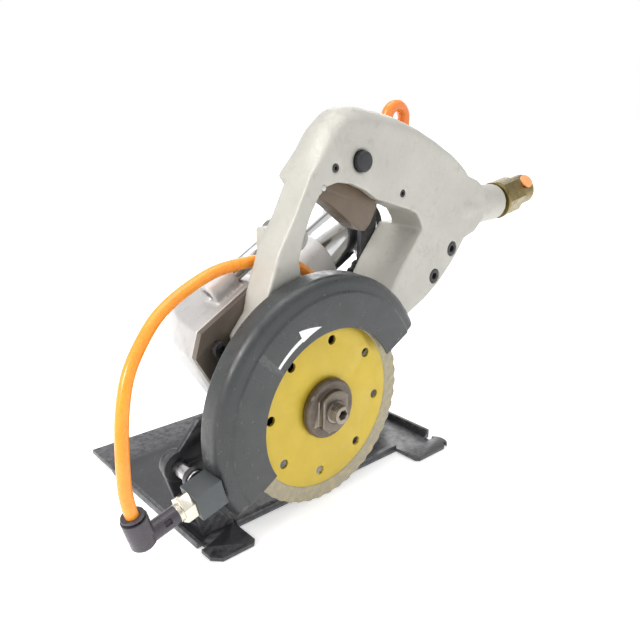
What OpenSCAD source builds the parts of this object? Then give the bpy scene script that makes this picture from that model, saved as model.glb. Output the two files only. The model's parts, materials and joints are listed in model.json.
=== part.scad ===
// Air-driven wet trim saw for stone: a tilted vane motor and gear head under a loop handle,
// hinged at the front of a notched base shoe so that the blade plunges through the notch.
// Frame: origin on the sole, below the spindle and midway across the shoe.
// +X runs along the cut towards the air inlet, -Y is the blade side, +Z is up.

/* [Blade] */
// Blade diameter over the diamond rim
blade_d = 105; // [90:1:115]
// Radial height of the diamond rim
rim_h = 8.7; // [5:0.1:10]
// Thickness of the diamond rim
rim_t = 2.4; // [2:0.1:3.2]
// Thickness of the steel core
core_t = 1.6; // [1.2:0.1:2]
// Arbor hole diameter
arbor_d = 20; // [16:1:22.2]

/* [Base shoe] */
// Length of the shoe along the cut
shoe_l = 172; // [145:1:205]
// Width of the shoe across the cut
shoe_w = 129.5; // [126:0.5:155]
// Sheet thickness of the shoe
shoe_t = 2; // [1.5:0.1:3]
// Length of the notch that the blade drops into
notch_l = 118.5; // [115:0.5:125]
// Height of the turned-up rear end
lip_h = 5.5; // [4:0.5:8]
// Diameter of the front hinge pin
hinge_pin_d = 6; // [5:0.5:7]

/* [Guard] */
// Outer radius of the guard
guard_r = 70; // [66:0.5:74]
// Radius of the guard's front cut-out
guard_open_r = 43.5; // [36:0.5:50]
// Sheet thickness of the guard
guard_t = 1.6; // [1.2:0.1:2.2]

/* [Motor] */
// Outer diameter of the plated motor barrel
barrel_d = 31.2; // [26:0.2:34]
// Length of the plated motor barrel
barrel_l = 46; // [38:1:50]
// Tilt of the motor above the sole, in degrees
motor_tilt = 30; // [27:0.5:33]

/* [Spindle] */
// Diameter of the spindle where the blade sits
spindle_d = 12; // [10:0.5:13]
// Height of the spindle above the sole
spindle_h = 54; // [53.5:0.5:64]

/* [Handle] */
// Width of the grip across the hand
grip_w = 24; // [20:0.5:28]
// Width of the trigger
trigger_w = 12; // [8:0.5:13]
// Diameter of the trigger's hinge pin
trigger_pin_d = 3; // [2.5:0.1:4]

/* [Water line] */
// Outside diameter of the water hose
hose_d = 6; // [5:0.5:7]

/* [Hidden] */
$fn = 64;

// Shared clearances
run = 0.03;          // radial running clearance of a shaft
gap = 0.3;           // side clearance of parts that slide past each other

// Places in the cutting frame: the blade's mid plane is y = 0 there, and +y is the motor side
cut_line_y = 55;     // the blade plane lies this far to the -Y side of the origin
shoe_front = -75;    // front end of the shoe
shoe_near = -9.5;    // outer edge of the shoe beside the blade
notch_front = -51;   // front end of the blade notch
notch_edge = 7.5;    // inner edge of the blade notch
spindle_reach = 9.8; // length of spindle past the flange nut's seat
flange_r = 16;       // blade flange radius
flange_t = 4.2;      // blade flange thickness
collar_y = core_t / 2 + flange_t;   // shoulder that the inner flange sits on
nose_y = 8.6;        // outer end of the bearing nose
nose_r = 21;         // outer radius of the bearing nose
nose_seat_y = 21.5;  // where the nose's flange begins
arm_y = [24.5, 27.5]; // the steel arm to the hinge lies between the nose's flange and the cover
nose_flange_r = 28;
nose_screw_r = 24.7; // radius of the ring of nose screws
nose_screw_angles = [30, 150, 270];
nose_bore_r = 14;     // seat of the near spindle bearing
cover_y = 27.5;      // outer face of the gear head's cover
cover_t = 3.5;
head_y = cover_y + cover_t;

// Gear train: spindle gear and pinion, then a pair of bevel gears
gear_m = 1.25;       // module of the spur pair
gear_z = 30;         // teeth on the spindle gear
pinion_z = 12;       // teeth on the countershaft pinion
bevel_m = 1.5;       // module of the bevel pair
bevel_z = 18;        // teeth on the countershaft's bevel gear
rotor_z = 12;        // teeth on the motor's bevel pinion
bevel_face = 0.35;   // face width as a share of the cone distance
shaft_gap = gear_m * (gear_z + pinion_z) / 2;
bevel_r = bevel_m * bevel_z / 2;
rotor_pinion_r = bevel_m * rotor_z / 2;

// Motor, measured along its own axis from the spindle
head_end = 34;       // rear face of the gear head
housing_end = 74;
barrel_start = 69.2;
barrel_r = barrel_d / 2;
barrel_wall = 1.3;
barrel_end = barrel_start + barrel_l;
housing_r = barrel_r + 2.2;
liner_r = barrel_r - 1;
chamber_r = 11;
chamber_off = 1.2;   // offset of the vane chamber from the rotor's axis
rotor_r = 9.6;
rotor_shaft_r = 3;
liner_start = 37.5;
liner_end = 63;
clamp_a = 102;       // front face of the barrel clamp
clamp_w = 9;
clamp_wall = 2.4;

// Handle, in the plane y = handle_y, measured from the spindle
handle_y = 10;
arm_w = 17.5;
grip_mid_y = handle_y + grip_w / 2;
rail_w = 34;
slot_w = trigger_w + 2 * gap;
pivot = [6, 109.5];  // trigger pivot
stem_x = 38;         // where the valve stem stands on the trigger
button = [31, 121];  // trigger lock button
button_r = 5.2;
air_tube_y = 43;     // air tube from the handle to the gear head, beside and above the motor
air_tube_b = 69.4;
tube_r = 4.6;
tube_start = 1;
tube_end = 41;
port = tilt_point(44.6, air_tube_b);   // where the handle hands its air to the tube
port_r = 7;
port_end = 36.5;
inlet = [165, 88];   // end of the inlet boss
inlet_tilt = 10;
valve_at = [96.5, 106];  // water valve on the far side of the grip
lever_h = 33.5;
lever_arc = 7.4;     // radius of the lever's arch
lever_wire = 3.6;

// Hinge and depth stop
hinge = [-72, 35];
hinge_r = hinge_pin_d / 2;
ear_t = 3;
ear_near = 10;       // near ear of the base's hinge bracket, just behind the guard
ear_far = arm_y[1] + 1;
stop = [78.7, 99.7]; // depth stud
stop_r = 3;
stop_arc = norm(stop - hinge);
stop_angle = atan2(stop[1] - hinge[1], stop[0] - hinge[0]);
plunge = 15;         // travel of the saw about the hinge, in degrees
bracket_y = handle_y + rail_w + 0.5;
bracket_t = 3;
motor_y = bracket_y + bracket_t + 1 + barrel_r + clamp_wall;   // the motor passes beside the bracket
bevel_y = motor_y - rotor_pinion_r;
head_far_y = motor_y + 17.5;
layshaft_end = motor_y + 7.5;

// Water fittings on the guard, along a line that leaves the spindle at this angle
water_angle = 196;
block_out = 14;      // length of the block
nipple_out = 8;
elbow_out = 25.5;    // from the block to the elbow's upright
elbow_r = 5.9;
collet_h = 14;       // from the elbow's crossing to its mouth
collet_r = hose_d / 2 + 1.4;

// Water hose, from the elbow to the fitting on the handle's lower rail
hose_end_a = 50;     // place of the rail fitting along the motor axis
hose_y = 35;
rail_top_b = 13.5;
fitting_h = 11.5;
hose_path = [[-108.15, 0, 33.9], [-110.15, 0, 40.9], [-111, 0.8, 50], [-110, 2.8, 63], [-107, 7, 78],
             [-101, 12, 93], [-91, 18, 104], [-78, 24, 113.5], [-61.5, 29, 120.3], [-42.3, 32.5, 125.6],
             [-22, 33.5, 127], [-9, 33.5, 126.3], [1.3, 34, 124], [11.4, 34.5, 119], [20.6, 35, 112.2],
             [26.2, 35, 107], [29.3, 35, 103.25], [32.3, 35, 98.05]];

module cutting() { translate([0, -cut_line_y, 0]) children(); }
module at_spindle() { cutting() translate([0, 0, spindle_h]) children(); }
module tilted() { at_spindle() rotate([0, -motor_tilt, 0]) children(); }

// The point (a, b) of the motor's tilted frame, in the X-Z plane of the spindle's frame
function tilt_point(a, b) = [a * cos(motor_tilt) - b * sin(motor_tilt),
                             a * sin(motor_tilt) + b * cos(motor_tilt)];
// A flat outline in the X-Z plane, given thickness from y0 to y1
module slab(y0, y1) { translate([0, y1, 0]) rotate([90, 0, 0]) linear_extrude(y1 - y0) children(); }
// A rod along Y at (x, z)
module rod_y(y0, y1, r, at = [0, 0]) {
    translate([at[0], y0, at[1]]) rotate([-90, 0, 0]) cylinder(h = y1 - y0, r = r);
}
// A cone or rod along X at (y, z)
module rod_x(x0, x1, r, at = [0, 0], r2 = undef) {
    translate([x0, at[0], at[1]]) rotate([0, 90, 0])
        cylinder(h = x1 - x0, r1 = r, r2 = is_undef(r2) ? r : r2);
}
// A turned ring along Y
module ring_y(y0, y1, r_in, r_out, at = [0, 0]) {
    difference() {
        rod_y(y0, y1, r_out, at);
        rod_y(y0 - 1, y1 + 1, r_in, at);
    }
}
// A turned ring along X
module ring_x(x0, x1, r_in, r_out, at = [0, 0]) {
    difference() {
        rod_x(x0, x1, r_out, at);
        rod_x(x0 - 1, x1 + 1, r_in, at);
    }
}
// A ball bearing drawn as its two rings and a shield between them
module bearing_profile(r_in, r_out, w) {
    shoulder = (r_out - r_in) * 0.28;
    polygon([[r_in, 0], [r_in + shoulder, 0], [r_in + shoulder, 0.4], [r_out - shoulder, 0.4],
        [r_out - shoulder, 0],
             [r_out, 0], [r_out, w], [r_out - shoulder, w], [r_out - shoulder, w - 0.4],
             [r_in + shoulder, w - 0.4], [r_in + shoulder, w], [r_in, w]]);
}
module bearing_y(y0, w, r_in, r_out, at = [0, 0]) {
    translate([at[0], y0, at[1]]) rotate([-90, 0, 0]) rotate_extrude() bearing_profile(r_in, r_out, w);
}
module bearing_x(x0, w, r_in, r_out, at = [0, 0]) {
    translate([x0, at[0], at[1]]) rotate([0, 90, 0]) rotate_extrude() bearing_profile(r_in, r_out, w);
}
// A gear's outline with straight-sided, slightly slender teeth
module gear_outline(z, m) {
    root = m * z / 2 - 1.3 * m;
    tip = m * z / 2 + 0.9 * m;
    step = 360 / z;
    polygon([for (i = [0 : z - 1], s = [[-0.34, root], [-0.13, tip], [0.13, tip], [0.34, root]])
             s[1] * [cos((i + s[0]) * step), sin((i + s[0]) * step)]]);
}
// A straight bevel gear whose teeth shrink towards the shafts' crossing, which is at height cone
module bevel_teeth(z, m, cone) {
    linear_extrude(cone * bevel_face, scale = 1 - bevel_face) gear_outline(z, m);
}
// A socket-head screw along +Y whose head's outer face is at y0
module cap_screw_y(y0, head_r, head_l, shank_r, length, at) {
    difference() {
        union() {
            rod_y(y0, y0 + head_l, head_r, at);
            rod_y(y0 + head_l, y0 + length, shank_r, at);
        }
        translate([at[0], y0 - 1, at[1]]) rotate([-90, 0, 0])
            cylinder(h = head_l * 0.55 + 1, r = head_r * 0.52, $fn = 6);
    }
}

// ---- Base shoe ----
shoe_rear = shoe_front + shoe_l;
shoe_far = shoe_near + shoe_w;
notch_rear = notch_front + notch_l;
step_y = shoe_far - 28;   // where the far strip begins to rise
step_up = 2.5;
corner_r = 3;
lip_from = 6.5;       // the turned-up ends start this far behind the blade plane

// Section across the shoe, which steps up along its far side
module shoe_section() {
    polygon([[shoe_near, 0], [step_y, 0], [step_y + 5, step_up], [shoe_far, step_up],
             [shoe_far, step_up + shoe_t], [step_y + 4.2, step_up + shoe_t], [step_y - 0.8, shoe_t],
             [shoe_near, shoe_t]]);
}
// Plan of the shoe with the blade notch and the small notches beside the turned-up ends
module shoe_plan() {
    difference() {
        translate([shoe_front, shoe_near]) square([shoe_l, shoe_w]);
        translate([notch_front, shoe_near - 1]) square([notch_l, notch_edge - shoe_near + 1]);
        translate([shoe_front - 1, 2.5]) square([4, 4]);
        translate([shoe_rear - 5, 2]) square([6, 4.5]);
        for (x = [shoe_front, shoe_rear]) translate([x, shoe_near]) rotate(45)
            square(2 * corner_r, center = true);
        for (x = [notch_front, notch_rear]) translate([x, shoe_near]) rotate(45)
            square(corner_r, center = true);
    }
}
module base_shoe() {
    color("#3c4042") cutting() {
        intersection() {
            translate([shoe_front, 0, 0]) rotate([90, 0, 90]) linear_extrude(shoe_l) shoe_section();
            linear_extrude(20, center = true) shoe_plan();
        }
        // stiffening bead along the notch
        translate([notch_front, notch_edge, shoe_t]) cube([notch_l, 3, 2.2]);
        translate([shoe_rear, 0, 0]) turned_end(1, lip_h);
        translate([shoe_front, 0, 0]) turned_end(-1, lip_h - 2);
        // rounded toe beyond the rear end, beside the blade
        intersection() {
            translate([shoe_rear - 4, shoe_near + 7, 0]) cylinder(h = shoe_t, r = 7);
            translate([shoe_rear - 0.5, shoe_near, -1]) cube([10, 20, 10]);
        }
    }
}
// Edge of an end of the shoe, turned up to height h, with a soft inner corner
module turned_end(side, h) {
    fillet = min(1.5, h - shoe_t - 0.2);
    rise = [[-shoe_t - fillet, shoe_t - 0.01], [-shoe_t, shoe_t + fillet], [-shoe_t, h], [0, h],
        [0, shoe_t - 0.01]];
    translate([0, shoe_far, 0]) rotate([90, 0, 0]) linear_extrude(shoe_far - lip_from)
        polygon([for (p = rise) [side * p[0], p[1]]]);
}

// ---- Front hinge ----
ear_foot = [hinge[0] + 3, hinge[0] + 20];
module ear_outline(wall) {
    eye = hinge_r + wall;
    difference() {
        union() {
            translate(hinge) circle(r = eye);
            polygon([hinge - [eye, 0], hinge + [eye, 0], [ear_foot[1], shoe_t], [ear_foot[0], shoe_t]]);
        }
        translate(hinge) circle(r = hinge_r);
    }
}
module hinge_bracket() {
    color("#3a3d40") cutting() {
        slab(ear_near, ear_near + ear_t) ear_outline(2.4);
        slab(ear_far, ear_far + ear_t) ear_outline(4);
        translate([ear_foot[0], ear_near, shoe_t])
            cube([ear_foot[1] - ear_foot[0], ear_far + ear_t - ear_near, ear_t]);
    }
}
module hinge_pin() {
    color("#9aa0a4") cutting() {
        rod_y(ear_near - 1.4, ear_far + ear_t + 2.5, hinge_r, hinge);
        rod_y(ear_near - 1.4, ear_near, hinge_r + 1.8, hinge);
        ring_y(ear_far + ear_t + 0.4, ear_far + ear_t + 1.4, hinge_r - 0.4, hinge_r + 2.2, hinge);
    }
}
module hinge_spacer() {
    color("#8b8f92") cutting() ring_y(ear_near + ear_t, arm_y[0] - 0.2, hinge_r, hinge_r + 0.9, hinge);
}
// Steel arm from the bearing nose down to the hinge pin
module link_arm() {
    eye = hinge - [0, spindle_h];
    color("#34373a") at_spindle() difference() {
        union() {
            rod_y(arm_y[0], arm_y[1], nose_flange_r);
            rod_y(arm_y[0], arm_y[1], hinge_r + 5, eye);
            slab(arm_y[0], arm_y[1])
                polygon([eye + [-5, -4], eye + [-5, 2], eye + [12, 21], [-20, 9], [-13, -17],
                         eye + [20, -9], eye + [2, -5]]);
        }
        rod_y(arm_y[0] - 1, arm_y[1] + 1, nose_bore_r);
        rod_y(arm_y[0] - 1, arm_y[1] + 1, hinge_r + run, eye);
        for (a = nose_screw_angles)
            rod_y(arm_y[0] - 1, arm_y[1] + 1, 2, nose_screw_r * [cos(a), sin(a)]);
    }
}

// ---- Depth bracket behind the handle's rear arm ----
guide_out = stop_arc + stop_r + 4.2;
guide_left = 67.5;
guide_top = 148;
module depth_outline() {
    difference() {
        union() {
            intersection() {
                translate(hinge) circle(r = guide_out, $fn = 128);
                polygon([[60, shoe_t], [shoe_rear - 7, shoe_t], [shoe_rear - 7, 12], [110, 12],
                    [110, 104],
                         [guide_left, 104], [guide_left, 60], [60, 40]]);
            }
            translate([guide_left, 90]) square([12.5, guide_top - 90]);
        }
        depth_slot();
    }
}
// Curved slot for the depth stud, with the whole travel of the saw
module depth_slot() {
    slot_r = stop_r + 0.25;
    translate(hinge) intersection() {
        difference() {
            circle(r = stop_arc + slot_r, $fn = 128);
            circle(r = stop_arc - slot_r, $fn = 128);
        }
        polygon([[0, 0], 2 * stop_arc * [cos(stop_angle - plunge), sin(stop_angle - plunge)],
                 2 * stop_arc * [cos(stop_angle), sin(stop_angle)]]);
    }
    for (a = [stop_angle - plunge, stop_angle])
        translate(hinge + stop_arc * [cos(a), sin(a)]) circle(r = slot_r);
}
module depth_bracket() {
    color("#2f3234") cutting() {
        slab(bracket_y, bracket_y + bracket_t) depth_outline();
        translate([62, bracket_y, shoe_t]) cube([30, 18, bracket_t]);
    }
}
rivet_spots = [[hinge[0] + 11.5, ear_near + 7.5], [hinge[0] + 11.5, ear_far - 4.5],
               [68, bracket_y + 11], [86, bracket_y + 11]];
module bracket_rivets() {
    color("#55585a") cutting() for (p = rivet_spots)
        translate([p[0], p[1], shoe_t + ear_t]) cylinder(h = 1.6, r1 = 3.4, r2 = 2.2);
}

// ---- Gear head ----
// Outline of the head's near side in the motor's tilted frame
module head_outline() {
    polygon([[-34.7, 4], [-34.7, 56.9], [-25.6, 65.6], [12, 65.6], [head_end, 48], [head_end, -6],
        [20, -19.6],
             [0, -28], [-20, -19.6]]);
    circle(r = 28);
}
module head_shell() {
    hull() {
        slab(head_y, head_y + 6) head_outline($fn = 32);
        slab(50, 56) polygon([[-31, 6], [-31, 54], [-22, 64.2], [9, 64.2], [head_end, 46], [head_end, -4],
                              [14, -18], [-14, -18]]);
        slab(head_far_y - 0.5, head_far_y) polygon([[-20, 0], [-26, 27], [-22.3, 44], [-11, 60],
            [0, 60.5], [14, 58],
                                                    [24, 46], [24, 10], [12, -6], [-8, -8]]);
    }
}
module gear_head() {
    color("#c9cac5") difference() {
        union() {
            tilted() head_shell();
            tilted() {
                rod_x(tube_start - 8, tube_start + 8, 6.8, [air_tube_y, air_tube_b]);
                translate([tube_start - 8, air_tube_y - 6, 58]) cube([16, 12, air_tube_b - 58]);
            }
        }
        tilted() {
            rod_y(head_y - 1, 48, 23, [0, 0]);
            rod_y(46, 57, 13, [0, 0]);
            rod_y(head_y - 1, 69, 17.5, [0, shaft_gap]);
            rod_y(68, layshaft_end, 8, [0, shaft_gap]);
            rod_x(0, 24, 12, [motor_y, shaft_gap]);
            rod_x(0, head_end + 1, 8, [motor_y, shaft_gap]);
            rod_x(tube_start, 40, tube_r, [air_tube_y, air_tube_b]);
            rod_x(tube_start - 9, tube_start + 1, 3.3, [air_tube_y, air_tube_b]);
            for (p = cover_holes) rod_y(head_y - 1, head_y + 10, 2.5, p);
        }
        at_spindle() for (p = foot_spots) rod_y(head_y - 1, handle_y + 26.9, 2.5, p);
    }
}
cover_holes = [[-22.3, 53.3], [-29, 36], [29.5, 41]];
module head_cover() {
    color("#6f675d") {
        difference() {
            tilted() slab(cover_y, head_y) head_outline();
            tilted() rod_y(cover_y - 1, head_y + 1, 14, [0, 0]);
            tilted() for (p = cover_holes) rod_y(cover_y - 1, head_y + 1, 2.6, p);
            at_spindle() for (p = foot_spots) rod_y(cover_y - 1, head_y + 1, 2.5, p);
        }
        tilted() ring_y(head_y, head_y + 4.5, 9.5, 13, [0, shaft_gap]);
    }
}
module cover_screws() {
    color("#26282a") tilted() for (p = cover_holes) cap_screw_y(cover_y - 4, 4, 4, 2.5, 15, p);
}
module bearing_nose() {
    color("#b9bab5") at_spindle() difference() {
        union() {
            rod_y(nose_y, nose_seat_y, nose_r);
            rod_y(nose_seat_y, arm_y[0], nose_flange_r);
        }
        rod_y(12, cover_y + 1, 14);
        rod_y(nose_y - 1, 12.5, 9);
        for (a = nose_screw_angles)
            rod_y(nose_seat_y - 1, cover_y + 1, 2, nose_screw_r * [cos(a), sin(a)]);
    }
}
module nose_screws() {
    color("#3a3c3e") at_spindle() for (a = nose_screw_angles)
        cap_screw_y(nose_seat_y - 2.4, 3, 2.4, 2, cover_y - nose_seat_y + 2.4,
                    nose_screw_r * [cos(a), sin(a)]);
}
module spindle_seal() {
    color("#1f2021") at_spindle() ring_y(9.2, 11.8, 7.5 + run, 9);
}
module spindle_bearings() {
    color("#aeb2b5") at_spindle() {
        bearing_y(12, 8, spindle_d / 2 + run, 14);
        bearing_y(49, 8, 5 + run, 13);
    }
}
module countershaft_bearings() {
    color("#aeb2b5") tilted() {
        bearing_y(head_y, 4.5, 4 + run, 9.5, [0, shaft_gap]);
        bearing_y(layshaft_end - 5, 5, 4 + run, 8, [0, shaft_gap]);
    }
}
module motor_bearings() {
    color("#aeb2b5") tilted() {
        bearing_x(26, 5, rotor_shaft_r + run, 8, [motor_y, shaft_gap]);
        bearing_x(65, 4, rotor_shaft_r + run, 6.5, [motor_y, shaft_gap]);
    }
}

// ---- Air motor ----
module on_motor_axis() { tilted() translate([0, motor_y, shaft_gap]) children(); }
module motor_housing() {
    color("#bdbeb9") on_motor_axis() difference() {
        union() {
            rod_x(head_end, head_end + 4, housing_r + 2);
            rod_x(head_end, housing_end - 2, housing_r);
            rod_x(housing_end - 2, housing_end, housing_r, r2 = housing_r - 1.2);
        }
        rod_x(head_end - 1, 70, liner_r);
        rod_x(barrel_start, housing_end + 1, barrel_r);
    }
}
module motor_liner() {
    color("#8d9296") on_motor_axis() difference() {
        rod_x(head_end, liner_end, liner_r);
        rod_x(head_end - 1, liner_end + 1, rotor_shaft_r + 0.5);
        rod_x(liner_start, liner_end + 1, chamber_r, [0, chamber_off]);
        for (s = [-1, 1]) rod_x(liner_start - 1, liner_end + 1, 1.2, [s * (chamber_r + 1.6), 0]);
    }
}
module motor_rear_plate() {
    color("#9da1a4") on_motor_axis() difference() {
        rod_x(liner_end, 69, liner_r);
        rod_x(liner_end - 1, 70, rotor_shaft_r + 0.5);
        rod_x(65, 70, 6.5);
        for (a = [45 : 90 : 315]) rod_x(liner_end - 1, 70, 1.6, 10 * [cos(a), sin(a)]);
    }
}
module motor_barrel() {
    color("#d8dbde") on_motor_axis() ring_x(barrel_start, barrel_end, barrel_r - barrel_wall, barrel_r);
}
module silencer_sleeve() {
    color("#8a8579") on_motor_axis() ring_x(housing_end + 2, barrel_end - 5, 7.5, barrel_r - barrel_wall);
}
module exhaust_cap() {
    color("#1c1d1e") on_motor_axis() difference() {
        union() {
            rod_x(barrel_end - 4, barrel_end, barrel_r - barrel_wall);
            rod_x(barrel_end, barrel_end + 4.5, barrel_r);
            rod_x(barrel_end + 4.5, barrel_end + 6, barrel_r, r2 = barrel_r - 1.5);
        }
        rod_x(barrel_end - 5, barrel_end + 3.5, 9);
        for (a = [0 : 45 : 315]) rod_x(barrel_end + 2, barrel_end + 7, 1.6, 6 * [cos(a), sin(a)]);
        for (a = [22.5 : 30 : 352.5]) rod_x(barrel_end - 5, barrel_end + 7, 1.1, 11.2 * [cos(a), sin(a)]);
    }
}
// Ring round the barrel and the arm that ties it to the handle's rear arm
clamp_bolts = [[111, 66], [96, 51.5]];
module barrel_clamp() {
    color("#b3b4af") difference() {
        tilted() {
            ring_x(clamp_a, clamp_a + clamp_w, barrel_r, barrel_r + clamp_wall, [motor_y, shaft_gap]);
            translate([clamp_a, handle_y + rail_w, 3]) cube([clamp_w, motor_y - handle_y - rail_w, 5.6]);
            translate([clamp_a + 1, handle_y + rail_w, -9]) cube([34, 4, 17.6]);
        }
        at_spindle() for (p = clamp_bolts) rod_y(handle_y + rail_w - 1, handle_y + rail_w + 5, 2.5, p);
    }
}
module clamp_screws() {
    color("#222426") at_spindle() for (p = clamp_bolts)
        cap_screw_y(handle_y + 0.4, 4, 4.5, 2.5, rail_w + 3.6, p);
}

// ---- Rotor group ----
module rotor() {
    color("#a4a9ad") on_motor_axis() {
        rod_x(bevel_r, 69.5, rotor_shaft_r);
        difference() {
            rod_x(liner_start + gap, liner_end - gap, rotor_r);
            rod_x(liner_start, liner_end, rotor_shaft_r);
            for (a = [45 : 90 : 315]) rotate([a, 0, 0]) translate([liner_start, -0.8, 4.6])
                cube([liner_end - liner_start, 1.6, 6]);
        }
    }
}
module rotor_vanes() {
    color("#7a4b2e") on_motor_axis() for (a = [45 : 90 : 315])
        rotate([a, 0, 0]) translate([liner_start + gap, -0.8, 4.6])
            cube([liner_end - liner_start - 2 * gap, 1.6, rotor_r - 4.7]);
}
module rotor_pinion() {
    color("#7f8488") on_motor_axis() difference() {
        union() {
            translate([bevel_r, 0, 0]) rotate([0, -90, 0]) rotate([0, 0, 180 / rotor_z])
                bevel_teeth(rotor_z, bevel_m, bevel_r);
            rod_x(bevel_r, 24, 5.5);
        }
        rod_x(0, 30, rotor_shaft_r);
    }
}

// ---- Countershaft group ----
module countershaft() { color("#a4a9ad") tilted() rod_y(head_y + 0.3, layshaft_end, 4, [0, shaft_gap]); }
module countershaft_pinion() {
    color("#7f8488") tilted() difference() {
        translate([0, 46.5, shaft_gap]) rotate([90, 0, 0]) linear_extrude(9)
            gear_outline(pinion_z, gear_m);
        rod_y(30, 50, 4, [0, shaft_gap]);
    }
}
module countershaft_bevel() {
    color("#7f8488") tilted() difference() {
        union() {
            translate([0, bevel_y, shaft_gap]) rotate([-90, 0, 0])
                bevel_teeth(bevel_z, bevel_m, rotor_pinion_r);
            rod_y(bevel_y - 5, bevel_y, 8, [0, shaft_gap]);
        }
        rod_y(40, layshaft_end + 1, 4, [0, shaft_gap]);
    }
}

// ---- Spindle group ----
spindle_tip = -core_t / 2 - 3 - spindle_reach;
nut_y = -core_t / 2 - flange_t;
module spindle() {
    color("#6e665c") at_spindle() difference() {
        union() {
            rod_y(spindle_tip, nut_y - 3.5, 4.8);
            rod_y(nut_y - 3.5, collar_y, spindle_d / 2);
            rod_y(collar_y, 12, 7.5);
            rod_y(12, 20, spindle_d / 2);
            rod_y(20, 47, 8);
            rod_y(47, 49, 7);
            rod_y(49, 57, 5);
        }
        translate([0, spindle_tip - 1, 0]) rotate([-90, 0, 0]) cylinder(h = 6, r = 2.9, $fn = 6);
    }
}
module spindle_gear() {
    color("#7f8488") tilted() difference() {
        translate([0, 46, 0]) rotate([90, 0, 0]) linear_extrude(8) gear_outline(gear_z, gear_m);
        rod_y(30, 50, 8);
    }
}
module inner_flange() {
    color("#5f574e") at_spindle() difference() {
        union() {
            rod_y(core_t / 2, collar_y, flange_r);
            rod_y(-core_t / 2 + 0.2, core_t / 2, arbor_d / 2);
        }
        rod_y(-5, 10, spindle_d / 2);
    }
}
core_r = blade_d / 2 - rim_h;
module blade_core() {
    color("#cfae34") at_spindle() difference() {
        rod_y(-core_t / 2, core_t / 2, core_r, $fn = 128);
        rod_y(-5, 5, arbor_d / 2);
        for (i = [0 : 7]) rod_y(-5, 5, 2.5, (core_r - 7.8) * [cos(i * 45 + 40), sin(i * 45 + 40)]);
    }
}
rim_notches = 40;
module blade_rim() {
    color("#b3a98a") at_spindle() slab(-rim_t / 2, rim_t / 2) difference() {
        circle(r = blade_d / 2, $fn = 128);
        circle(r = core_r, $fn = 128);
        for (i = [0 : rim_notches - 1]) rotate(i * 360 / rim_notches)
            translate([blade_d / 2, 0]) rotate(50) square([2.4, 1.6], center = true);
    }
}
module flange_nut() {
    color("#564e46") at_spindle() difference() {
        union() {
            translate([0, -core_t / 2, 0]) rotate([90, 0, 0]) rotate_extrude()
                polygon([[0, 0], [flange_r, 0], [flange_r, flange_t - 1.2],
                    [flange_r - 1.2, flange_t], [0, flange_t]]);
            intersection() {
                rod_y(nut_y - 3.5, nut_y, 11);
                translate([-8.5, nut_y - 4, -12]) cube([17, 5, 24]);
            }
        }
        rod_y(-20, 5, spindle_d / 2);
    }
}

// ---- Guard ----
guard_y = [-7.5, 8];
guard_from = 29.5;   // angle of the guard's rear end above the horizontal
guard_to = 212;      // angle of its front lower end
hub_r = 28;
hub_t = 2.6;
// A ring sector about the spindle axis, angles measured from +X towards +Z
module sector_y(a0, a1) { rotate([-90, 0, 0]) rotate([0, 0, -a1])
    rotate_extrude(angle = a1 - a0, $fn = 128) children(); }
module blade_guard() {
    r = guard_r;
    t = guard_t;
    y0 = guard_y[0];
    y1 = guard_y[1];
    color("#4b5051") at_spindle() {
        sector_y(guard_from, guard_to) polygon([
            [guard_open_r, y0], [r - 8, y0], [r - 6.6, y0 + 1.1], [r - 2.2, y0 + 2], [r, y0 + 4.6],
                [r, y1],
            [hub_r - 2, y1], [hub_r - 2, y1 - t], [r - t, y1 - t], [r - t, y0 + 5], [r - 3, y0 + 3.6],
            [r - 7.2, y0 + 2.7], [r - 8.6, y0 + t], [guard_open_r, y0 + t]]);
        ring_y(y1 - hub_t, y1, nose_r, hub_r);
    }
}
module guard_collar() {
    color("#3d4142") at_spindle() difference() {
        union() {
            ring_y(guard_y[1], 16, nose_r, nose_r + 3);
            rotate([0, 180, 0]) translate([nose_r + 1, guard_y[1] + 0.5, -6]) cube([11, 7, 12]);
        }
        rotate([0, 180, 0]) translate([nose_r - 2, guard_y[1] - 1, -1]) cube([20, 10, 2]);
        rotate([0, 180, 0]) translate([nose_r + 8, guard_y[1] + 4, -10]) cylinder(h = 20, r = 1.8);
    }
}
module collar_screw() {
    color("#222426") at_spindle() rotate([0, 180, 0]) translate([nose_r + 8, guard_y[1] + 4, -6]) {
        translate([0, 0, -3]) cylinder(h = 3, r = 3.2);
        cylinder(h = 15, r = 1.8);
    }
}

// ---- Water line on the guard ----
module water_line() { at_spindle() rotate([0, -water_angle, 0]) translate([guard_r, 0, 0]) children(); }
module water_block() {
    color("#5a6063") water_line() difference() {
        translate([-1.2, -7.2, -6.8]) cube([block_out + 1.2, 13.7, 13.6]);
        translate([-guard_r, 0, 0]) rod_y(-9, 9, guard_r);
        rod_x(4, block_out + 1, 3, [0, 0]);
    }
}
module water_nipple() {
    color("#d9d4c6") water_line() {
        translate([block_out, 0, 0]) rotate([0, 90, 0]) cylinder(h = nipple_out - 2, r = 6.9, $fn = 6);
        rod_x(block_out + nipple_out - 2, block_out + nipple_out, 4.4);
        rod_x(5, block_out, 3);
    }
}
module water_elbow() {
    color("#4f4b54") water_line() translate([block_out + elbow_out, 0, 0]) difference() {
        union() {
            rod_x(-elbow_out + nipple_out, 0, 4.4);
            translate([0, 0, -collet_h + 2]) cylinder(h = collet_h, r = elbow_r);
            translate([0, 0, 2]) cylinder(h = 1.8, r1 = elbow_r, r2 = elbow_r - 1.6);
        }
        translate([0, 0, -collet_h]) cylinder(h = collet_h, r = collet_r);
        rod_x(-13.5, -10, 1.3, [-3.7, -1.8]);
    }
}
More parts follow.
